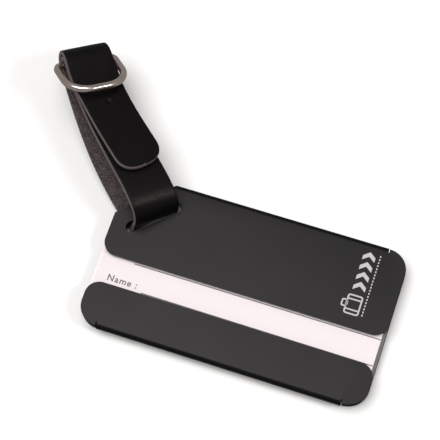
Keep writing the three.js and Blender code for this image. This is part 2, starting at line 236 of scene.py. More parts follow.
fold_line = TAG_WIDTH / 2 - THICKNESS / 2
fold_radius = (THICKNESS - SHEET) / 2  # at the middle of the sheet
fold_length = np.pi * fold_radius
across = np.array([np.cos(CHAMFER_TURN), np.sin(CHAMFER_TURN), 0.0])  # along the slot
away = np.array([-np.sin(CHAMFER_TURN), np.cos(CHAMFER_TURN), 0.0])  # from the slot to the ring
up = np.array([0.0, 0.0, 1.0])
chamfer_down = CHAMFER_ALONG * np.tan(CHAMFER_TURN)
chamfer_middle = np.array(
    [-TAG_LENGTH / 2 + CHAMFER_ALONG / 2, TAG_WIDTH / 2 - chamfer_down / 2, THICKNESS / 2]
)
slot_middle = chamfer_middle + across * SLOT_SHIFT - away * (LAND_WIDTH + SLOT_WIDTH / 2)
print("slot's middle, mm:", slot_middle.round(2), " length of sheet in a fold, mm:", round(fold_length, 2))


# %% Bend the blank round its folds
EAR = 34.0  # beyond this distance from the middle a corner's ear stays flat past the fold line


def fold(x, v):
    """The places across the holder and above the table of the sheet's middle, for places on the blank."""
    x, v = np.asarray(x, float), np.asarray(v, float)
    turn = np.clip((np.abs(v) - fold_line) / fold_radius, 0, np.pi)
    past = np.maximum(np.abs(v) - fold_line - fold_length, 0)
    y = np.minimum(np.abs(v), fold_line) + fold_radius * np.sin(turn) - past
    z = SHEET / 2 + fold_radius * (1 - np.cos(turn))
    over = np.abs(v) > fold_line + fold_length / 2
    ear = np.abs(x) > EAR
    y = np.where(ear, np.where(over, 2 * fold_line + fold_length - np.abs(v), np.abs(v)), y)
    z = np.where(ear, np.where(over, THICKNESS - SHEET / 2, SHEET / 2), z)
    return np.sign(v) * y, z


def unfold(y):
    """The place across the blank of a flap's point that lies at y once folded."""
    return np.sign(y) * (2 * fold_line + fold_length) - y


def arc(centre, radius, start, end, steps=12):
    turns = np.radians(np.linspace(start, end, steps + 1))
    return [(centre[0] + radius * np.cos(t), centre[1] + radius * np.sin(t)) for t in turns]


fold_middle = fold(0, fold_line + fold_length / 2)
print("the wide fold's outermost point, mm:", [round(float(c), 2) for c in fold_middle])

# %% [markdown]
# The blank's outline goes round once: up the right-hand end, along the wide flap's window edge, and
# back down the left-hand end with its cut corner. At each round corner a narrow slit parts the fold
# from the flat ear beside it, the relief that lets the sheet fold without bulging there.


# %% The blank's outline
RELIEF_SLIT = 0.3


def corner(side, end):
    """From the back panel round a corner, through the fold's end and round the same corner of the flap."""
    step = TAG_LENGTH / 2 - CORNER_RADIUS
    centre = step, TAG_WIDTH / 2 - CORNER_RELIEF - CORNER_RADIUS
    first = arc(centre, CORNER_RADIUS, 0, 90, 14) + [(step, fold_line), (step - RELIEF_SLIT, fold_line)]
    second = [(x, 2 * fold_line + fold_length - y) for x, y in reversed(first)]
    return [(end * x, side * v) for x, v in first + second]


def cut_corner():
    """The straight saw cut across the back panel, the fold and the flap."""
    foot = TAG_WIDTH / 2 - chamfer_down
    panel, bent = np.linspace(foot, fold_line, 6), np.linspace(fold_line, fold_line + fold_length, 17)[1:-1]
    places = np.concatenate([panel, bent, unfold(panel[::-1])])
    x = -TAG_LENGTH / 2 + CHAMFER_ALONG - (TAG_WIDTH / 2 - fold(0, places)[0]) / np.tan(CHAMFER_TURN)
    return list(zip(x, places))


def window_end(side, end):
    """A flap's rounded corner beside the window."""
    edge = side * (TAG_WIDTH / 2 - (WIDE_FLAP if side > 0 else NARROW_FLAP))
    centre = TAG_LENGTH / 2 - WINDOW_RADIUS, edge + side * WINDOW_RADIUS
    turn = arc(centre, WINDOW_RADIUS, 0, -90 * side)
    return [(end * x, side * (2 * fold_line + fold_length) - y) for x, y in turn]


outline = corner(1, 1) + window_end(1, 1) + window_end(1, -1)[::-1] + cut_corner()[::-1]
outline += corner(-1, -1) + window_end(-1, -1) + window_end(-1, 1)[::-1] + corner(-1, 1)[::-1]
print("points round the blank:", len(outline))


# %% The two slots
def slot_outline(flip):
    reach, radius = SLOT_LENGTH / 2 - SLOT_WIDTH / 2, SLOT_WIDTH / 2
    ends = arc((reach, 0), radius, -90, 90, 16) + arc((-reach, 0), radius, 90, 270, 16)
    points = [slot_middle + across * a + away * b for a, b in ends]
    return [(p[0], unfold(p[1]) if flip else p[1]) for p in points]


slots = [slot_outline(False), slot_outline(True)]
print("slot on the flap, along the blank, mm:", round(max(p[1] for p in slots[1]), 1))


# %% Fill the blank and fold it
def folded_sheet(loops):
    work = bmesh.new()
    for loop in loops:
        corners = [work.verts.new((x, v, 0)) for x, v in loop]
        for first, second in zip(corners, corners[1:] + corners[:1]):
            work.edges.new((first, second))
    bmesh.ops.triangle_fill(work, use_beauty=True, use_dissolve=False, edges=work.edges[:], normal=(0, 0, 1))
    for side in (-1, 1):
        for step in range(17):
            line = side * (fold_line + fold_length * step / 16)
            everything = work.verts[:] + work.edges[:] + work.faces[:]
            cut = {"plane_co": (0, line, 0), "plane_no": (0, 1, 0), "dist": 1e-6}
            bmesh.ops.bisect_plane(work, geom=everything, **cut)
    bmesh.ops.recalc_face_normals(work, faces=work.faces[:])
    if sum(face.normal.z for face in work.faces) < 0:
        bmesh.ops.reverse_faces(work, faces=work.faces[:])
    flat = np.array([v.co for v in work.verts])
    faces = [[v.index for v in face.verts] for face in work.faces]
    work.free()
    y, z = fold(flat[:, 0], flat[:, 1])
    return np.column_stack([flat[:, 0], y, z]), faces, flat


sheet_points, sheet_faces, sheet_flat = folded_sheet([outline] + slots)
holder = make_piece("folded_holder", sheet_points, sheet_faces, [anodised_aluminium], flat=sheet_flat)
thickness = holder.modifiers.new("sheet thickness", "SOLIDIFY")
thickness.thickness = SHEET * MM
thickness.offset = 0
round_edges(holder, EDGE_BREAK)
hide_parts("holder")
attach(holder, "holder")
print("holder's thickness, mm:", SHEET, " its fold's outer radius, mm:", THICKNESS / 2)

# %% [markdown]
# ## Card stock
# The name card is uncoated card stock, slightly warm. Its fibres scatter nearly all the light, so
# it is rough and almost without shine. Fibres are about 0.03 mm wide and clump into 1 mm clouds,
# and only the clouds show.

# %% Finish: card stock
card_stock = new_finish("uncoated card stock, warm white")
place = add_node(card_stock, "ShaderNodeTexCoord")
clouds = add_node(
    card_stock,
    "ShaderNodeTexNoise",
    {"Vector": place.outputs["Object"], "Scale": 1 / (1.0 * MM), "Detail": 4.0, "Roughness": 0.65},
)
pulp = add_node(
    card_stock,
    "ShaderNodeMix",
    {0: clouds.outputs["Fac"], MIX_A: linear("#F5EBED"), MIX_B: linear("#FAF0F2")},
    data_type="RGBA",
)
tooth = add_node(
    card_stock, "ShaderNodeBump", {"Height": clouds.outputs["Fac"], "Strength": 0.1, "Distance": 0.02 * MM}
)
shader = add_node(
    card_stock,
    "ShaderNodeBsdfPrincipled",
    {
        "Base Color": pulp.outputs[MIX_RESULT],
        "Roughness": 0.85,
        "Specular IOR Level": 0.2,
        "Normal": tooth.outputs["Normal"],
    },
)
add_node(card_stock, "ShaderNodeOutputMaterial", {"Surface": shader.outputs["BSDF"]})
print(card_stock.name)

# %% [markdown]
# ## The name card
# A plain die-cut card, pushed up against the strap end of the pocket, so that its left-hand edge
# comes flush with the holder and a sliver of pocket shows at the right. Its top corner is cut
# parallel to the slot, clear of the strap. The cutting die presses the edges slightly round.

# %% Cut a flat sheet to an outline
def flat_sheet(name, loop, bottom, height, finish, edge_radius):
    count = len(loop)
    points = [(x, y, bottom) for x, y in loop] + [(x, y, bottom + height) for x, y in loop]
    faces = [list(range(count))[::-1], list(range(count, 2 * count))]
    faces += [(i, (i + 1) % count, count + (i + 1) % count, count + i) for i in range(count)]
    return round_edges(make_piece(name, points, faces, [finish]), edge_radius)


CARD_CUT = 2.4  # where the cut corner meets the strap end, above the holder's middle
CARD_CORNER, CARD_CLEAR = 3.0, 1.0  # the card's round corners, and its distance from the slot
FILM_CORNER, FILM_CLEAR = 3.4, 0.6


def card_outline(left, right, side, radius, clear_of_slot):
    """A card with round corners, and one corner cut parallel to the slot at a distance from it."""
    start = slot_middle - away * (SLOT_WIDTH / 2 + clear_of_slot)
    slope = np.tan(CHAMFER_TURN)
    loop = arc((right - radius, side - radius), radius, 0, 90, 8)
    foot = CARD_CUT + CARD_CLEAR - clear_of_slot
    loop.append((start[0] + (side - start[1]) / slope, side))
    loop += [(start[0] - (start[1] - foot) / slope, foot), (left, foot)]
    loop += arc((left + radius, radius - side), radius, 180, 270, 8)
    return loop + arc((right - radius, radius - side), radius, 270, 360, 8)


low, high = (np.array(corner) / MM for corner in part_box("name_card"))
card_top = high[2]
card_loop = card_outline(low[0], high[0], high[1], CARD_CORNER, CARD_CLEAR)
card = flat_sheet("paper_card", card_loop, low[2], high[2] - low[2], card_stock, edge_radius=0.06)
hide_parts("name_card")
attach(card, "card")

# %% [markdown]
# ## Print on the card
# A card for writing on has a word to say what goes where, and ruled lines. Real ink lies only a
# few thousandths of a millimetre thick, and is drawn 0.02 mm thick so that it lies clear of the
# paper. It is made as thin flat pieces and not as a picture, so it stays sharp however close the
# look.

# %% Finish: printing ink
printing_ink = new_finish("offset printing ink, dark grey, dry")
place = add_node(printing_ink, "ShaderNodeTexCoord")
mottle = add_node(
    printing_ink,
    "ShaderNodeTexNoise",
    {"Vector": place.outputs["Object"], "Scale": 1 / (0.3 * MM), "Detail": 2.0},
)
ink = add_node(
    printing_ink,
    "ShaderNodeMix",
    {0: mottle.outputs["Fac"], MIX_A: linear("#1C1A1B"), MIX_B: linear("#343031")},
    data_type="RGBA",
)
shader = add_node(
    printing_ink, "ShaderNodeBsdfPrincipled", {"Base Color": ink.outputs[MIX_RESULT], "Roughness": 0.6}
)
add_node(printing_ink, "ShaderNodeOutputMaterial", {"Surface": shader.outputs["BSDF"]})
print(printing_ink.name)


# %% Ruled lines
INK_DEPTH, RULE_WIDTH = 0.02, 0.28


def ruled_line(name, start, end):
    start, end = np.array(start), np.array(end)
    sideways = np.array([start[1] - end[1], end[0] - start[0]]) / np.linalg.norm(end - start) * RULE_WIDTH / 2
    stations = np.linspace(start, end, 40)
    loop = [tuple(p - sideways) for p in stations] + [tuple(p + sideways) for p in stations[::-1]]
    line = flat_sheet(name, loop, card_top, INK_DEPTH, printing_ink, edge_radius=0.005)
    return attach(line, "card")


ruled_line("upper_rule", (-30.2, -2.28), (38.9, -2.34))
ruled_line("lower_rule", (-25.8, -9.5), (38.9, -9.75))


# %% The printed word
def printed_word(name, words, place_left, baseline, cap_height):
    text = bpy.data.curves.new(name, "FONT")
    text.body = words
    text.size = cap_height / 0.69 * MM  # a capital is 0.69 of the font's size
    text.space_character = 1.18
    text.offset = 0.018 * text.size  # bolder strokes
    text.extrude = INK_DEPTH / 2 * MM
    shaped = bpy.data.objects.new(name + "_curve", text)
    bpy.context.scene.collection.objects.link(shaped)
    bpy.context.view_layer.update()
    mesh = bpy.data.meshes.new_from_object(shaped)
    bpy.data.objects.remove(shaped)
    mesh.transform(Matrix.Translation(Vector((place_left, baseline, card_top + INK_DEPTH / 2)) * MM))
    mesh.materials.clear()
    mesh.materials.append(printing_ink)
    word = bpy.data.objects.new(name, mesh)
    bpy.context.scene.collection.objects.link(word)
    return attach(word, "card")


word = printed_word("name_word", "Name :", place_left=-36.0, baseline=-8.75, cap_height=1.75)
print("printed word, mm:", [round(c / MM, 2) for c in word.dimensions])

# %% [markdown]
# ## Clear PVC film
# A 0.25 mm sheet of clear PVC lies over the card. It is nearly invisible where it lies on white
# card, and shows mostly at its cut edges, as a slightly grey, slightly shiny line. A see-through
# share of the surface, and not bending of light, keeps the card under it almost as bright as it is
# bare.

# %% Finish: clear film
clear_film = new_finish("clear PVC film, calendered")
place = add_node(clear_film, "ShaderNodeTexCoord")
haze = add_node(
    clear_film,
    "ShaderNodeTexNoise",
    {"Vector": place.outputs["Object"], "Scale": 1 / (6 * MM), "Detail": 2.0},
)
gloss = add_node(
    clear_film, "ShaderNodeMapRange", {"Value": haze.outputs["Fac"], "To Min": 0.12, "To Max": 0.2}
)
shader = add_node(
    clear_film,
    "ShaderNodeBsdfPrincipled",
    {"Base Color": linear("#C9C2C0"), "Roughness": gloss.outputs["Result"], "IOR": 1.53, "Alpha": 0.1},
)
add_node(clear_film, "ShaderNodeOutputMaterial", {"Surface": shader.outputs["BSDF"]})
print(clear_film.name)

# %% The clear cover
low, high = (np.array(corner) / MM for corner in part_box("card_cover"))
cover_loop = card_outline(low[0], high[0], high[1], FILM_CORNER, FILM_CLEAR)
cover = flat_sheet("film_cover", cover_loop, low[2], high[2] - low[2], clear_film, edge_radius=0.05)
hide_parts("card_cover")
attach(cover, "cover")

# %% [markdown]
# ## The strap's route
# A strap is one strip of leather, 13 mm wide and 1.3 mm thick, and all of its shape comes from
# where it goes. So the route is worked out first, as a row of stations. Each one has a point in the
# middle of the leather, a direction across the strip, and a direction out of its grain side. The
# stretches, their lengths and their turns are the CAD model's.

# %% Directions and places along the route
STRAP_WIDTH, LEATHER, CLEARANCE = 13.0, 1.3, 0.3
STRAP_REACH, BAR_HEIGHT, LOOP_SKEW = 47.4, 11.1, 0.2
LOOP_YAW, LOOP_RISE, LOOP_ROLL = -7.4, 11.5, 18.3
SLOT_TWIST, SLOT_LEAN, SLOT_PLAY = 15.0, -10.0, 0.5
LAND_MARGIN, BACK_YAW, BACK_RISE = 1.2, 8.0, 12.0
FIXED_END, FIXED_TAPER, FIXED_SHIFT = 19.0, 9.0, 0.9
TAIL_LENGTH, TAIL_START, TAIL_LIFT, TAIL_SHIFT = 36.6, 9.0, 0.6, 1.4
WIRE = 2.0


def turned(vector, axis, degrees):
    return np.array(Matrix.Rotation(np.radians(degrees), 3, Vector(axis)) @ Vector(vector))


width, along, out = (turned(direction, up, LOOP_YAW) for direction in (across, away, up))
along, out = turned(along, width, LOOP_RISE), turned(out, width, LOOP_RISE)
width, out = turned(width, along, LOOP_ROLL), turned(out, along, LOOP_ROLL)

land_middle = slot_middle + away * (SLOT_WIDTH + LAND_WIDTH) / 2
bar = slot_middle + away * STRAP_REACH + across * LOOP_SKEW
bar[2] = BAR_HEIGHT
inner_turn = (WIRE + LEATHER) / 2 + CLEARANCE
outer_turn = inner_turn + LEATHER + CLEARANCE
slot_widthway = turned(across, away, SLOT_TWIST)
slot_out = turned(turned(up, away, SLOT_TWIST), across, -SLOT_LEAN)
back_out = turned(turned(away, up, BACK_YAW), across, BACK_RISE)
back_widthway = np.cross(back_out, up) / np.linalg.norm(np.cross(back_out, up))
face_exit = slot_middle - away * SLOT_PLAY + up * THICKNESS / 2
land_exit = (
    land_middle
    + away * (LAND_WIDTH / 2 + LAND_MARGIN)
    - up * (THICKNESS / 2 + CLEARANCE + LEATHER / 2)
    - across * np.tan(np.radians(SLOT_TWIST)) * LAND_WIDTH * 1.5
)
front_top, back_top = bar + out * inner_turn, bar - out * outer_turn
print("the hidden bar's middle, mm:", bar.round(2), " the strap leaves the slot at:", face_exit.round(2))


# %% A stretch of the route
FINE = 400  # points along each stretch
FRONT_PULLS, BACK_PULLS = (23, 16), (14, 17)  # how far each end of a run keeps its direction


class Stretch:
    """Stations along a line of points, with the strip's width turning from one direction to another."""

    def __init__(self, points, start_width, end_width, ease=lambda share: share):
        steps = np.linalg.norm(np.diff(points, axis=0), axis=1)
        self.place = np.concatenate([[0], np.cumsum(steps)])
        self.length = self.place[-1]
        share = ease(self.place / self.length)[:, None]
        tangent = np.gradient(points, self.place, axis=0)
        tangent /= np.linalg.norm(tangent, axis=1)[:, None]
        side = start_width * (1 - share) + end_width * share
        side -= tangent * (side * tangent).sum(1)[:, None]
        side /= np.linalg.norm(side, axis=1)[:, None]
        self.table = np.hstack([points, side, np.cross(tangent, side)])

    def at(self, distance):
        values = [np.interp(distance, self.place, column) for column in self.table.T]
        return np.array(values[:3]).T, np.array(values[3:6]).T, np.array(values[6:]).T


def bezier(*corners):
    t = np.linspace(0, 1, FINE)[:, None]
    a, b, c, d = corners
    return (1 - t) ** 3 * a + 3 * (1 - t) ** 2 * t * b + 3 * (1 - t) * t**2 * c + t**3 * d


def half_turn(radius):
    turn = np.linspace(-np.pi / 2, np.pi / 2, FINE)[:, None]
    return bar + along * np.cos(turn) * radius + out * np.sin(turn) * radius


front_run = Stretch(
    bezier(front_top, front_top - along * FRONT_PULLS[0], face_exit + slot_out * FRONT_PULLS[1], face_exit),
    width,
    slot_widthway,
)
slot_run = Stretch(
    bezier(
        face_exit,
        face_exit - slot_out * THICKNESS,
        land_exit - back_out * (LAND_MARGIN + LAND_WIDTH + SLOT_WIDTH / 2),
        land_exit,
    ),
    slot_widthway,
    back_widthway,
    lambda share: 1 - (1 - share) ** 3,
)
back_run = Stretch(
    bezier(land_exit, land_exit + back_out * BACK_PULLS[0], back_top - along * BACK_PULLS[1], back_top),
    back_widthway,
    width,
)
print("front, slot and back runs, mm:", [round(s.length, 1) for s in (front_run, slot_run, back_run)])

# %% [markdown]
# The fixed end is folded back under the front run and closes up to it, and the free end lies along
# the front run's grain side, standing off a little more towards its tip. Both are found by stepping
# off the front run.


# %% The fixed end and the tail follow the front run
distance = np.linspace(FIXED_END, 0, FINE)
point, side, grain = front_run.at(distance)
opening = 0.5 + 0.5 * np.cos(np.pi * np.minimum(1, distance / FIXED_TAPER))
drop = (LEATHER + CLEARANCE) * (1 - opening) + 2 * inner_turn * opening
shift = FIXED_SHIFT * distance / FIXED_END
end_run = Stretch(point - grain * drop[:, None] + side * shift[:, None], front_run.at(FIXED_END)[1], width)

distance = np.linspace(0, TAIL_LENGTH, FINE)
point, side, grain = front_run.at(distance)
free = np.maximum(0, distance - TAIL_START) / (TAIL_LENGTH - TAIL_START)
lift = outer_turn - inner_turn + TAIL_LIFT * free**1.5
tail_points = point + grain * lift[:, None] + side * (TAIL_SHIFT * free)[:, None]
tail_run = Stretch(tail_points, width, front_run.at(TAIL_LENGTH)[1])
inner_wrap = Stretch(half_turn(inner_turn), width, width)
outer_wrap = Stretch(half_turn(outer_turn), width, width)
ends_and_turns = end_run, tail_run, inner_wrap, outer_wrap
print("fixed end, tail and the two turns, mm:", [round(s.length, 1) for s in ends_and_turns])

# %% [markdown]
# ## Strap leather
# The strap is drum-dyed black cowhide. Its grain side is finished with a thin matt coat over fine,
# close grain about 0.5 mm across, which gives a deep black with a soft broad shine where it bends.
# Its flesh side is raw and brushed: short fibres, greyer and browner than the coat, mottled at 0.3
# to 2 mm, with no shine but a pale nap seen edge-on. The cut edges are left raw and show the
# browner middle of the hide, streaked along the strap.
#
# All three textures are measured on the flat strip, so they bend and move with the leather.

# %% Finish: grain side
leather_grain = new_finish("cowhide, grain side, drum-dyed black, matt coat")
flat_place = add_node(leather_grain, "ShaderNodeAttribute", attribute_name="flat", attribute_type="GEOMETRY")
pebble = add_node(
    leather_grain,
    "ShaderNodeTexVoronoi",
    {"Vector": flat_place.outputs["Vector"], "Scale": 1 / 0.55, "Randomness": 1.0},
    feature="SMOOTH_F1",
)
creases = add_node(
    leather_grain,
    "ShaderNodeTexNoise",
    {
        "Vector": flat_place.outputs["Vector"],
        "Scale": 1 / 1.6,
        "Detail": 5.0,
        "Roughness": 0.6,
        "Distortion": 0.6,
    },
)
tone = add_node(
    leather_grain,
    "ShaderNodeTexNoise",
    {"Vector": flat_place.outputs["Vector"], "Scale": 1 / 6.0, "Detail": 3.0},
)
coat = add_node(
    leather_grain,
    "ShaderNodeMix",
    {0: tone.outputs["Fac"], MIX_A: linear("#070606"), MIX_B: linear("#0C0A0B")},
    data_type="RGBA",
)
polish = add_node(
    leather_grain,
    "ShaderNodeMapRange",
    {"Value": creases.outputs["Fac"], "From Min": 0.3, "From Max": 0.7, "To Min": 0.33, "To Max": 0.43},
)
fine_bump = add_node(
    leather_grain,
    "ShaderNodeBump",
    {"Height": pebble.outputs["Distance"], "Strength": 0.35, "Distance": 0.05 * MM},
)
both_bumps = add_node(
    leather_grain,
    "ShaderNodeBump",
    {
        "Height": creases.outputs["Fac"],
        "Strength": 0.6,
        "Distance": 0.1 * MM,
        "Normal": fine_bump.outputs["Normal"],
    },
)
shader = add_node(
    leather_grain,
    "ShaderNodeBsdfPrincipled",
    {
        "Base Color": coat.outputs[MIX_RESULT],
        "Roughness": polish.outputs["Result"],
        "Specular IOR Level": 0.13,
        "Specular Tint": linear("#FFF5F1"),
        "Normal": both_bumps.outputs["Normal"],
    },
)
add_node(leather_grain, "ShaderNodeOutputMaterial", {"Surface": shader.outputs["BSDF"]})
print(leather_grain.name)

# %% Finish: flesh side
leather_flesh = new_finish("cowhide, flesh side, raw and brushed")
flat_place = add_node(leather_flesh, "ShaderNodeAttribute", attribute_name="flat", attribute_type="GEOMETRY")
fibres = add_node(
    leather_flesh,
    "ShaderNodeTexNoise",
    {"Vector": flat_place.outputs["Vector"], "Scale": 1 / 0.35, "Detail": 4.0, "Roughness": 0.7},
)
mottle = add_node(
    leather_flesh,
    "ShaderNodeTexNoise",
    {"Vector": flat_place.outputs["Vector"], "Scale": 1 / 1.8, "Detail": 4.0, "Roughness": 0.6},
)
blotched = add_node(
    leather_flesh,
    "ShaderNodeMapRange",
    {"Value": mottle.outputs["Fac"], "From Min": 0.3, "From Max": 0.7},
)
ground = add_node(
    leather_flesh,
    "ShaderNodeMix",
    {0: blotched.outputs["Result"], MIX_A: linear("#312A2A"), MIX_B: linear("#4C4343")},
    data_type="RGBA",
)
fibre_share = add_node(
    leather_flesh,
    "ShaderNodeMapRange",
    {"Value": fibres.outputs["Fac"], "From Min": 0.52, "From Max": 0.68, "To Max": 0.75},
)
napped = add_node(
    leather_flesh,
    "ShaderNodeMix",
    {0: fibre_share.outputs["Result"], MIX_A: ground.outputs[MIX_RESULT], MIX_B: linear("#918483")},
    data_type="RGBA",
)
nap = add_node(
    leather_flesh, "ShaderNodeBump", {"Height": fibres.outputs["Fac"], "Strength": 0.6, "Distance": 0.12 * MM}
)
shader = add_node(
    leather_flesh,
    "ShaderNodeBsdfPrincipled",
    {
        "Base Color": napped.outputs[MIX_RESULT],
        "Roughness": 0.95,
        "Specular IOR Level": 0.15,
        "Sheen Weight": 0.15,
        "Sheen Roughness": 0.6,
        "Sheen Tint": linear("#BDB0AE"),
        "Normal": nap.outputs["Normal"],
    },
)
add_node(leather_flesh, "ShaderNodeOutputMaterial", {"Surface": shader.outputs["BSDF"]})
print(leather_flesh.name)

# %% Finish: cut edge
leather_edge = new_finish("cowhide, cut edge, raw")
flat_place = add_node(leather_edge, "ShaderNodeAttribute", attribute_name="flat", attribute_type="GEOMETRY")
# Streaks run along the strap: 0.15 mm thick, ten times as long.
stretched = add_node(
    leather_edge, "ShaderNodeMapping", {"Vector": flat_place.outputs["Vector"], "Scale": (1.0, 0.1, 1.0)}
)
streaks = add_node(
    leather_edge,
    "ShaderNodeTexNoise",
    {"Vector": stretched.outputs["Vector"], "Scale": 1 / 0.15, "Detail": 3.0},
)
raw = add_node(
    leather_edge,
    "ShaderNodeMix",
    {0: streaks.outputs["Fac"], MIX_A: linear("#463E3E"), MIX_B: linear("#736867")},
    data_type="RGBA",
)
frayed = add_node(
    leather_edge, "ShaderNodeBump", {"Height": streaks.outputs["Fac"], "Strength": 0.4, "Distance": 0.08 * MM}
)
shader = add_node(
    leather_edge,
    "ShaderNodeBsdfPrincipled",
    {
        "Base Color": raw.outputs[MIX_RESULT],
        "Roughness": 0.8,
        "Specular IOR Level": 0.25,
        "Normal": frayed.outputs["Normal"],
    },
)
add_node(leather_edge, "ShaderNodeOutputMaterial", {"Surface": shader.outputs["BSDF"]})
print(leather_edge.name)

# %% [markdown]
# ## Cutting the strip
# The strip's cross-section is a thin bar. The knife and the edge slicker leave its grain-side
# corners rounder than its flesh-side ones. Sweeping that section along the stations gives the
# strip, and at a rounded tip the section shrinks. There the corners are rounded towards the tip as
# well as to the sides, so each row of points is set back along the outline's own normal.

# %% The strip's cross-section
GRAIN_CORNER, FLESH_CORNER, COLUMNS = 0.32, 0.18, 33
EDGE_BULGE = 0.04  # the cut edge stands out this far at its middle


def cross_section():
    """Columns once round the strip: share of half the width, set-back, height, and finish number."""
    rows = [(share, GRAIN_CORNER, LEATHER / 2, 0) for share in np.linspace(-1, 1, COLUMNS)]
    edge = []
    for turn in np.radians([30, 60, 90]):
        height = LEATHER / 2 - GRAIN_CORNER * (1 - np.cos(turn))
        edge.append((1, GRAIN_CORNER * (1 - np.sin(turn)), height, 2))
    edge[0] = edge[0][:3] + (0,)  # the grain side's coat reaches a little way round the corner
    edge.append((1, -EDGE_BULGE, 0.0, 2))
    for turn in np.radians([90, 50]):
        height = -LEATHER / 2 + FLESH_CORNER * (1 - np.cos(turn))
        edge.append((1, FLESH_CORNER * (1 - np.sin(turn)), height, 2))
    back = [(share, FLESH_CORNER, -LEATHER / 2, 1) for share in np.linspace(1, -1, COLUMNS)]
    other = [(-1, inset, height, finish) for _, inset, height, finish in edge[::-1]]
    return rows, edge, back, other


grain_row, right_edge, flesh_row, left_edge = cross_section()
section = np.array(grain_row + right_edge + flesh_row + left_edge)
print("points round the section:", len(section))


# %% Stations along several stretches
def stations(stretches, distance):
    place, side, grain = (np.zeros(np.shape(distance) + (3,)) for _ in range(3))
    start = 0.0
    for number, stretch in enumerate(stretches):
        last = number == len(stretches) - 1
        begun = distance >= start if number else distance > -np.inf
        here = begun & ((distance < start + stretch.length) | last)
        place[here], side[here], grain[here] = stretch.at(distance[here] - start)
        start += stretch.length
    return place, side, grain


# %% Sweep the section along the route
TIP_LENGTH, TIP_FULLNESS = 5.6, 2.5  # a tip's outline is a quarter of a superellipse on each side

# Where the outer layer is pulled hard round the bar and into the ring, it is pressed a little wider.
PRESSED_WIDER, PRESSED_LENGTH, PRESSED_PAST_BAR = 0.35, 6.0, 4.0
to_the_bar = end_run, inner_wrap, front_run, slot_run, back_run, outer_wrap
pressed_at = sum(stretch.length for stretch in to_the_bar) + PRESSED_PAST_BAR


def strip(name, stretches, start, end, step, rounded=False, shape=None):
    straight_end = end - TIP_LENGTH if rounded else end
    along_strip = np.linspace(start, straight_end, int((straight_end - start) / step) + 1)
    half = STRAP_WIDTH / 2 + PRESSED_WIDER * np.exp(-(((along_strip - pressed_at) / PRESSED_LENGTH) ** 2))
    if rounded:
        turn = np.radians(np.linspace(0, 89.5, 40))[1:]
        along_strip = np.append(along_strip, straight_end + TIP_LENGTH * np.sin(turn) ** (2 / TIP_FULLNESS))
        half = np.append(half, STRAP_WIDTH / 2 * np.cos(turn) ** (2 / TIP_FULLNESS))
    # the outline's normal, as an angle from sideways to forward
    slant = np.arctan2(-np.gradient(half), np.gradient(along_strip))
    share, inset, height, finish = section.T
    distance = along_strip[:, None] - inset * np.sin(slant)[:, None]
    sideways = share * np.maximum(half[:, None] - inset * np.cos(slant)[:, None], 0)
    lifted = np.broadcast_to(height, distance.shape).copy()
    if shape is not None:
        lifted = lifted + shape(distance, sideways, lifted)
    place, side, grain = stations(stretches, distance)
    points = place + side * sideways[..., None] + grain * lifted[..., None]
    rows, columns = distance.shape
    number = np.arange(rows * columns).reshape(rows, columns)
    near, far = number[:-1], number[1:]
    quads = np.stack([near, np.roll(near, -1, 1), np.roll(far, -1, 1), far], -1).reshape(-1, 4)
    finishes = np.maximum(finish, np.roll(finish, -1) * (np.roll(finish, -1) == finish)).astype(int)
    faces, numbers = quads.tolist(), np.tile(finishes, rows - 1).tolist()
    edge_start, back_start = COLUMNS, COLUMNS + len(right_edge)
    for row, flip in ((number[0], False), (number[-1], True)):
        right = row[edge_start:back_start]
        left = row[back_start + COLUMNS :][::-1]
        caps = [list(row[:COLUMNS]) + [right[0], left[0]]]
        caps += [[left[i], right[i], right[i + 1], left[i + 1]] for i in range(len(right) - 1)]
        caps.append([left[-1], right[-1]] + list(row[back_start : back_start + COLUMNS]))
        faces += [cap if flip else cap[::-1] for cap in caps]
        numbers += [2] * len(caps)
    flat = np.stack([sideways, distance, lifted], -1).reshape(-1, 3)
    hide = [leather_grain, leather_flesh, leather_edge]
    piece = make_piece(name, points.reshape(-1, 3), faces, hide, numbers, flat)
    knife_cuts = [set(number[0].tolist())] + ([] if rounded else [set(number[-1].tolist())])
    for edge in piece.data.edges:
        edge.use_edge_sharp = any(set(edge.vertices) <= cut for cut in knife_cuts)
    return piece


WAVE_HEIGHT, RIPPLE_HEIGHT, CROWN_HEIGHT = 0.025, 0.015, 0.06


def swell(distance, sideways, height):
    """The hide's own slight unevenness: slow waves in the strip's surface and a trace of crown across it."""
    long_waves = WAVE_HEIGHT * np.sin(distance / 5.3 + 0.8) * np.sin(sideways / 4.1 + 0.5)
    short_waves = RIPPLE_HEIGHT * np.sin(distance / 2.1 + 2.0)
    crown = -CROWN_HEIGHT * (sideways / (STRAP_WIDTH / 2)) ** 4 * np.sign(height)
    return long_waves + short_waves + crown


print("tip, mm:", TIP_LENGTH)

# %% [markdown]
# ## The strap's loop
# The loop runs from the fixed end, round the hidden bar, down the front run, through the slot, back
# up behind the cut corner and over the bar again, and ends under the ring's front bar, where the
# tail carries on from it. It is one piece because the leather is.
#
# Swung upward at the slot, the loop keeps its shape up to about 40 degrees. Further on it folds
# sharply, and cuts into the holder and into itself.

# %% Make the loop
RING_PITCH, RING_DEPTH = 38.92, 13.3
ring_back = turned(along, width, -RING_PITCH)
tail_root = RING_DEPTH * np.cos(np.radians(RING_PITCH)) + WIRE
whole_route = [end_run, inner_wrap, front_run, slot_run, back_run, outer_wrap, tail_run]
before_tail = sum(stretch.length for stretch in whole_route[:-1])
loop_end = before_tail + tail_root
loop = strip("leather_loop", whole_route, 0.0, loop_end, step=0.45, shape=swell)
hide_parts("strap_bend", "strap_front", "strap_back")
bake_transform(loop)
print("leather in the loop, mm:", round(loop_end, 1))
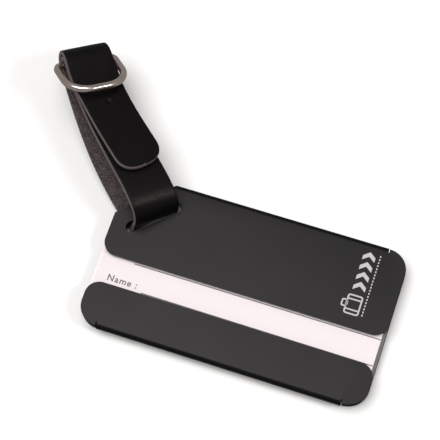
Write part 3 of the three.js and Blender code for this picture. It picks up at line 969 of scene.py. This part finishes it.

# %% [markdown]
# ## The strap's tail
# The free end lies over the front run, held down by the ring's front bar, with a round-cornered
# tip. Pressed over the rivet's head, it has taken a small round dimple. It lifts at the ring.

# %% Make the tail
RIVET_PLACE, RIVET_SIDEWAYS = 14.5, 0.3


def tail_shape(distance, sideways, height):
    """The same slight unevenness, and the dimple with a faint raised rim on the grain side."""
    from_rivet = np.hypot(distance - before_tail - RIVET_PLACE, sideways - RIVET_SIDEWAYS)
    dimple = -0.3 * np.exp(-((from_rivet / 0.55) ** 2)) + 0.05 * np.exp(-(((from_rivet - 1.3) / 0.5) ** 2))
    return swell(distance, sideways, height) + np.where(height > 0.5, dimple, 0)


tail_end = before_tail + tail_run.length
tail = strip("leather_tail", whole_route, loop_end, tail_end, step=0.3, rounded=True, shape=tail_shape)
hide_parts("strap_tail")
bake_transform(tail)

# %% [markdown]
# ## Plated ring
# The ring is bent from steel wire, slightly flattened in the bending rolls, then polished and
# plated in a warm champagne nickel. Polishing leaves it almost mirror-smooth, so what it shows is
# its surroundings, a little blurred. A very faint roughness left by the buffing, 0.1 mm across, and
# cloudy smears of 2.5 mm keep it from looking like a computer's chrome.

# %% Finish: champagne nickel
champagne_nickel = new_finish("nickel plate on steel, champagne, polished")
place = add_node(champagne_nickel, "ShaderNodeTexCoord")
smears = add_node(
    champagne_nickel,
    "ShaderNodeTexNoise",
    {"Vector": place.outputs["Object"], "Scale": 1 / (2.5 * MM), "Detail": 4.0, "Roughness": 0.6},
)
buffed = add_node(
    champagne_nickel,
    "ShaderNodeMapRange",
    {"Value": smears.outputs["Fac"], "From Min": 0.3, "From Max": 0.7, "To Min": 0.15, "To Max": 0.26},
)
plate = add_node(
    champagne_nickel,
    "ShaderNodeMix",
    {0: smears.outputs["Fac"], MIX_A: linear("#D6C4BC"), MIX_B: linear("#E4D5CD")},
    data_type="RGBA",
)
marks = add_node(
    champagne_nickel,
    "ShaderNodeTexNoise",
    {"Vector": place.outputs["Object"], "Scale": 1 / (0.1 * MM), "Detail": 1.0},
)
scored = add_node(
    champagne_nickel,
    "ShaderNodeBump",
    {"Height": marks.outputs["Fac"], "Strength": 0.02, "Distance": 0.01 * MM},
)
shader = add_node(
    champagne_nickel,
    "ShaderNodeBsdfPrincipled",
    {
        "Base Color": plate.outputs[MIX_RESULT],
        "Metallic": 1.0,
        "Roughness": buffed.outputs["Result"],
        "Normal": scored.outputs["Normal"],
    },
)
add_node(champagne_nickel, "ShaderNodeOutputMaterial", {"Surface": shader.outputs["BSDF"]})
print(champagne_nickel.name)

# %% [markdown]
# ## The ring
# The ring is a D: tight corners at the bar that the strap goes round, wide ones at the front bar.
# Its centre line is drawn from four straight lengths and four arcs, and a slightly squared section
# is swept round it.

# %% Sweep the ring
RING_WIDTH, RING_SHIFT, RING_BACK_RADIUS, RING_FRONT_RADIUS = 16.8, -0.38, 2.0, 6.4
RING_SIDES, WIRE_SQUARENESS, WIRE_FLATNESS = 28, 2.6, 0.9


def ring_line():
    """The ring's centre line, as (sideways, towards the hidden bar)."""
    half_width, half_depth = RING_WIDTH / 2, RING_DEPTH / 2
    corners = []
    for x, y, radius, first in (
        (1, 1, RING_BACK_RADIUS, 0),
        (-1, 1, RING_BACK_RADIUS, 90),
        (-1, -1, RING_FRONT_RADIUS, 180),
        (1, -1, RING_FRONT_RADIUS, 270),
    ):
        centre = x * (half_width - radius), y * (half_depth - radius)
        corners.append(np.array(arc(centre, radius, first, first + 90, 20)))
    line = []
    for here, after in zip(corners, corners[1:] + corners[:1]):
        gap = np.linalg.norm(after[0] - here[-1])
        bars = max(1, int(gap / 0.6))
        line += list(here) + list(np.linspace(here[-1], after[0], bars + 1)[1:-1])
    return np.array(line)


line = ring_line()
ring_middle = bar - ring_back * RING_DEPTH / 2 + width * RING_SHIFT
centres = ring_middle + np.outer(line[:, 0], width) + np.outer(line[:, 1], ring_back)
forward = np.roll(centres, -1, 0) - np.roll(centres, 1, 0)
forward /= np.linalg.norm(forward, axis=1)[:, None]
ring_normal = np.cross(width, ring_back)
outward = np.cross(forward, ring_normal)
turn = np.linspace(0, 2 * np.pi, RING_SIDES, endpoint=False)
squared = 2 / WIRE_SQUARENESS
across_wire = np.sign(np.cos(turn)) * np.abs(np.cos(turn)) ** squared * WIRE / 2
through_wire = np.sign(np.sin(turn)) * np.abs(np.sin(turn)) ** squared * WIRE / 2 * WIRE_FLATNESS
points = centres[:, None] + outward[:, None] * across_wire[:, None] + ring_normal * through_wire[:, None]
number = np.arange(points.shape[0] * RING_SIDES).reshape(-1, RING_SIDES)
next_row, next_column = np.roll(number, -1, 0), np.roll(number, -1, 1)
quads = np.stack([number, next_column, np.roll(next_row, -1, 1), next_row], -1).reshape(-1, 4)
ring = make_piece("wire_ring", points.reshape(-1, 3), quads, [champagne_nickel])
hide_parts("ring")
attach(ring, "ring")
print("ring across its side bars, mm:", round(RING_WIDTH + WIRE, 1))

# %% [markdown]
# ## The rivet
# A tubular rivet closes the fixed end round the ring. Its outer head is let into the leather under
# the tail, and its inner head is a low dome with a rolled rim, seen from below. A lathe profile
# spun about the shank makes both.

# %% Turn the rivet
RIVET_HEAD, RIVET_SHANK, HEAD_HEIGHT = 4.0, 1.6, 0.5


def rivet_profile():
    """Radius and height of the rivet's outline, from the inner head's middle to the outer head's."""
    outer, inner = LEATHER / 2, -(LEATHER * 1.5 + CLEARANCE * 1.5)
    head, shank = RIVET_HEAD / 2, RIVET_SHANK / 2
    shares = 0.15, 0.3, 0.45, 0.6, 0.72, 0.82, 0.9
    dome = [(head * s, inner - HEAD_HEIGHT * np.sqrt(max(0.0, 1 - s**2.2))) for s in shares]
    rim = [(head * 0.96, inner - 0.24), (head, inner - 0.12), (head * 0.98, inner), (shank, inner)]
    top = [(shank, outer - HEAD_HEIGHT), (head * 0.98, outer - HEAD_HEIGHT)]
    top += [(head, outer - 0.3), (head * 0.95, outer - 0.1)]
    crown = [(head * s, outer - 0.1 * s**2) for s in (0.8, 0.6, 0.4, 0.2)]
    return np.array(dome + rim + top + crown), (0.0, inner - HEAD_HEIGHT), (0.0, outer)


profile, bottom_middle, top_middle = rivet_profile()
rivet_point, rivet_side, rivet_axis = front_run.at(RIVET_PLACE)
rivet_forward = np.cross(rivet_side, rivet_axis)
spins = np.linspace(0, 2 * np.pi, 48, endpoint=False)
around = np.outer(np.cos(spins), rivet_side) + np.outer(np.sin(spins), rivet_forward)
points = rivet_point + profile[:, None, :1] * around + profile[:, None, 1:] * rivet_axis
middles = [rivet_point + rivet_axis * middle[1] for middle in (bottom_middle, top_middle)]
points = np.vstack([points.reshape(-1, 3)] + middles)
number = np.arange(len(profile) * len(spins)).reshape(len(profile), -1)
beside = np.roll(number, -1, 1)
quads = np.stack([number[:-1], number[1:], beside[1:], beside[:-1]], -1).reshape(-1, 4).tolist()
low_middle, high_middle = len(points) - 2, len(points) - 1
faces = quads + [[low_middle, a, b] for a, b in zip(number[0], beside[0])]
faces += [[high_middle, b, a] for a, b in zip(number[-1], beside[-1])]
rivet = make_piece("tubular_rivet", points, faces, [champagne_nickel])
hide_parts("rivet")
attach(rivet, "strap")

# %% [markdown]
# ## Laser-marked pictogram
# Such a holder usually carries a mark near one end, burned in by a laser, which bleaches the dye
# and leaves a pale grey, slightly rough surface without thickness. This one is a plain suitcase, a
# row of arrows and a dotted line. They are drawn as thin flat shapes a hundredth of a millimetre
# proud of the flap.

# %% Finish: laser-bleached oxide
bleached_oxide = new_finish("anodised aluminium, laser-bleached")
place = add_node(bleached_oxide, "ShaderNodeTexCoord")
# The laser's passes are 0.05 mm apart, too fine to show, so its unevenness is drawn 0.3 mm wide.
passes = add_node(
    bleached_oxide, "ShaderNodeTexNoise", {"Vector": place.outputs["Object"], "Scale": 1 / (0.3 * MM)}
)
burned = add_node(
    bleached_oxide,
    "ShaderNodeMix",
    {0: passes.outputs["Fac"], MIX_A: linear("#B2B0B0"), MIX_B: linear("#C4C2C2")},
    data_type="RGBA",
)
shader = add_node(
    bleached_oxide,
    "ShaderNodeBsdfPrincipled",
    {"Base Color": burned.outputs[MIX_RESULT], "Roughness": 0.7, "Specular IOR Level": 0.2},
)
add_node(bleached_oxide, "ShaderNodeOutputMaterial", {"Surface": shader.outputs["BSDF"]})
print(bleached_oxide.name)


# %% Shapes of the mark
def box_outline(left, right, low, high, radius):
    corners = [((right - radius, high - radius), 0), ((left + radius, high - radius), 90)]
    corners += [((left + radius, low + radius), 180), ((right - radius, low + radius), 270)]
    return [point for centre, first in corners for point in arc(centre, radius, first, first + 90, 5)]


def frame_of(outer, inner):
    """A closed band between two outlines of the same number of points."""
    count = len(outer)
    return outer + inner, [(i, (i + 1) % count, count + (i + 1) % count, count + i) for i in range(count)]


def mark_shapes():
    """Outlines in reading direction: along to the right, up away from the baseline, in millimetres."""
    shapes = [frame_of(box_outline(0, 5.6, 0, 4.2, 0.7), box_outline(0.42, 5.18, 0.42, 3.78, 0.35))]
    shapes.append(frame_of(box_outline(1.7, 3.9, 3.95, 5.4, 0.5), box_outline(2.1, 3.5, 3.6, 5.0, 0.25)))
    for left in (1.15, 4.05):
        shapes.append((box_outline(left, left + 0.4, 0.4, 3.8, 0.05), None))
    for step in range(4):
        a = 6.9 + 2.9 * step
        arrow = [(a, 0.2), (a + 1.3, 0.2), (a + 2.6, 1.9), (a + 1.3, 3.6), (a, 3.6), (a + 1.3, 1.9)]
        shapes.append((arrow, None))
    for step in range(20):
        a = 0.4 + 0.9 * step
        shapes.append((box_outline(a, a + 0.5, -1.15, -0.8, 0.1), None))
    return shapes


# %% Lay the mark on the flap
MARK_START, MARK_BASELINE, MARK_DEPTH = 1.4, 31.4, 0.012  # MARK_DEPTH is how proud it stands


def lay_mark():
    points, faces = [], []
    for outline_points, band in mark_shapes():
        first, count = len(points), len(outline_points)
        cells = band or [tuple(range(count))]
        for height in (THICKNESS, THICKNESS + MARK_DEPTH):
            points += [(MARK_BASELINE - v, MARK_START + u, height) for u, v in outline_points]
        faces += [[first + count + i for i in cell] for cell in cells]
        faces += [[first + i for i in cell][::-1] for cell in cells]
        rings = [list(range(count))]
        if band is not None:
            rings = [list(range(count // 2)), list(range(count // 2, count))[::-1]]
        for loop in rings:
            for a, b in zip(loop, loop[1:] + loop[:1]):
                faces.append([first + a, first + b, first + count + b, first + count + a])
    return make_piece("laser_mark", points, faces, [bleached_oxide], smooth=False)


mark = lay_mark()
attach(mark, "holder")

# %% [markdown]
# ## Floor and light
# A wide sheet of pale paper lies under the tag, and the light is a plain soft studio's: a large
# soft box high above and to the left, a small lamp at the right that picks out the edges, and a dim
# room all round. The room stays dim because black leather and black aluminium show their
# surroundings: in a white room they would turn grey.

# %% The floor
floor_paper = new_finish("background paper, matt, pale")
place = add_node(floor_paper, "ShaderNodeTexCoord")
tooth = add_node(
    floor_paper,
    "ShaderNodeTexNoise",
    {"Vector": place.outputs["Object"], "Scale": 1 / (2 * MM), "Detail": 3.0},
)
sheet_tone = add_node(
    floor_paper,
    "ShaderNodeMix",
    {0: tooth.outputs["Fac"], MIX_A: linear("#F3F2F1"), MIX_B: linear("#F7F6F5")},
    data_type="RGBA",
)
shader = add_node(
    floor_paper,
    "ShaderNodeBsdfPrincipled",
    {"Base Color": sheet_tone.outputs[MIX_RESULT], "Roughness": 0.9, "Specular IOR Level": 0.1},
)
add_node(floor_paper, "ShaderNodeOutputMaterial", {"Surface": shader.outputs["BSDF"]})

FLOOR_REACH = 3000.0
floor_height = cad_box[0].z / MM - 0.05
floor = make_piece(
    "floor",
    [(x * FLOOR_REACH, y * FLOOR_REACH, floor_height) for x, y in ((-1, -1), (1, -1), (1, 1), (-1, 1))],
    [(0, 1, 2, 3)],
    [floor_paper],
)
floor.visible_glossy = False
print("floor at, mm:", round(floor_height, 2))


# %% The lights
def soft_box(name, place, size, power, aim=(-15, 10, 0), colour="#FFFFFF"):
    lamp = bpy.data.lights.new(name, "AREA")
    lamp.shape, lamp.size, lamp.energy, lamp.color = "DISK", size * MM, power, linear(colour)[:3]
    stand = bpy.data.objects.new(name, lamp)
    bpy.context.scene.collection.objects.link(stand)
    stand.location = Vector(place) * MM
    stand.rotation_euler = (Vector(aim) - Vector(place)).to_track_quat("-Z", "Y").to_euler()
    stand.visible_camera = False


soft_box("key_light", (-195, -20, 880), 840, 7.6)
soft_box("rim_light", (480, 10, 500), 160, 1.3)

room = bpy.data.worlds.new("room")
bpy.context.scene.world = room
room.use_nodes = True
room.node_tree.nodes.clear()
seen_by = add_node(room, "ShaderNodeLightPath")
brightness = add_node(
    room, "ShaderNodeMapRange", {"Value": seen_by.outputs["Is Camera Ray"], "To Min": 0.3, "To Max": 1.0}
)
backdrop = add_node(
    room, "ShaderNodeBackground", {"Color": linear("#F6F5F4"), "Strength": brightness.outputs["Result"]}
)
add_node(room, "ShaderNodeOutputWorld", {"Surface": backdrop.outputs["Background"]})
bpy.context.scene.view_settings.view_transform = "Standard"
